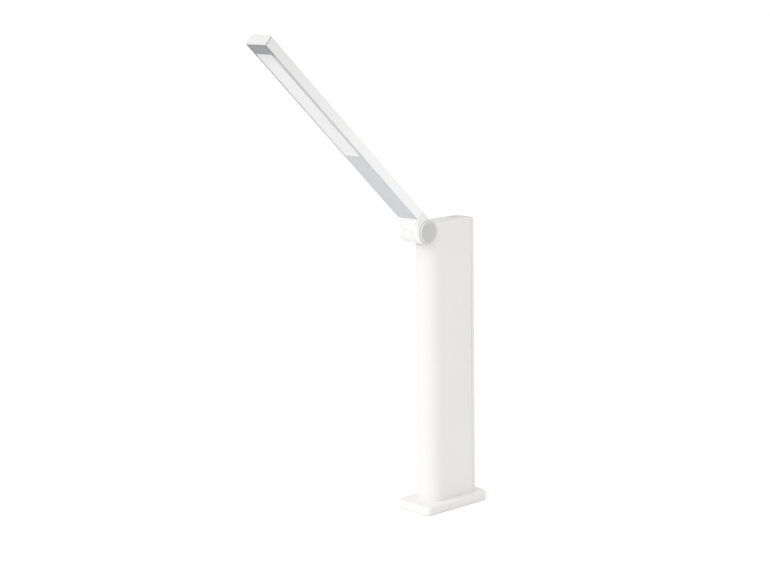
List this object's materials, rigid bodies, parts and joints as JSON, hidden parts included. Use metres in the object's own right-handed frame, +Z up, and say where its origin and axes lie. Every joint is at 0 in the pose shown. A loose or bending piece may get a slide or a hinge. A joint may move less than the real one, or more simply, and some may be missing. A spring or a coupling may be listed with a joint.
{
  "type": "folding desk lamp",
  "caption": "Folding LED desk lamp: a slim straight arm with an opal light panel pivots on a barrel hinge at the front of a flat upright column on a thin foot plate.",
  "frame": {"origin": "middle of the foot's footprint, on the surface the lamp stands on", "axes": "+Z up, X along the hinge barrel, -Y towards the front, where the arm reaches out"},
  "size_m": [0.039, 0.2246, 0.398],
  "materials": {
    "white_shell": "smooth satin moulded plastic",
    "cast_white": "white paint on a zinc casting",
    "cover_white": "fine matt moulded plastic",
    "bezel_grey": "satin grey plastic",
    "opal_panel": "opal light panel",
    "reflector_white": "white reflector",
    "cap_grey": "satin light grey plastic",
    "key_grey": "satin light grey plastic",
    "grip_rubber": "soft matt rubber",
    "steel": "zinc plated",
    "bush_bronze": "sintered bronze",
    "inner_plastic": "black moulded plastic",
    "cell_wrap": "shrink sleeve on a steel can",
    "circuit": "solder mask on glass fibre board",
    "board_black": "moulded component bodies",
    "board_aluminium": "white coated aluminium board",
    "led_phosphor": "phosphor over white package",
    "socket_metal": "nickel plated shell",
    "light_pipe": "clear moulded light pipe",
    "lead_red": "insulated wire"
  },
  "bodies": {
    "base": {"foot_shell": "white_shell", "ballast_plate": "steel", "foot_cover": "white_shell", "grip_mat": "grip_rubber", "foot_screws": "steel", "column_shell": "white_shell", "rear_cover": "white_shell", "top_cap": "white_shell", "hinge_bracket": "cast_white", "hinge_bush": "bush_bronze", "bracket_screws": "steel", "battery_cradle": "inner_plastic", "battery_cell": "cell_wrap", "control_board": "circuit", "board_parts": "board_black", "board_screws": "steel", "usb_port": "socket_metal", "charge_light": "light_pipe", "switch_board": "circuit", "key_switch": "board_black", "column_leads": "lead_red"},
    "arm": {"arm_knuckle": "white_shell", "knuckle_screws": "steel", "hinge_pin": "steel", "friction_washers": "steel", "hinge_nut": "steel", "left_end_cap": "cap_grey", "right_end_cap": "cap_grey", "arm_housing": "white_shell", "tip_cap": "white_shell", "underside_cover": "cover_white", "light_bezel": "bezel_grey", "diffuser": "opal_panel", "reflector_tray": "reflector_white", "led_board": "board_aluminium", "led_chips": "led_phosphor", "arm_leads": "lead_red"},
    "key": {"power_key": "key_grey"}
  },
  "joints": [
    {"name": "arm_hinge", "type": "hinge", "parent": "base", "child": "arm", "pos_m": [0, -0.027, 0.234], "axis": [1, 0, 0], "range_deg": [-46, 134]},
    {"name": "key_press", "type": "slide", "parent": "base", "child": "key", "axis": [0, 0, -1], "range_m": [0, 0.0005], "stiffness_N_per_m": 800, "springref_m": -0.0005}
  ]
}
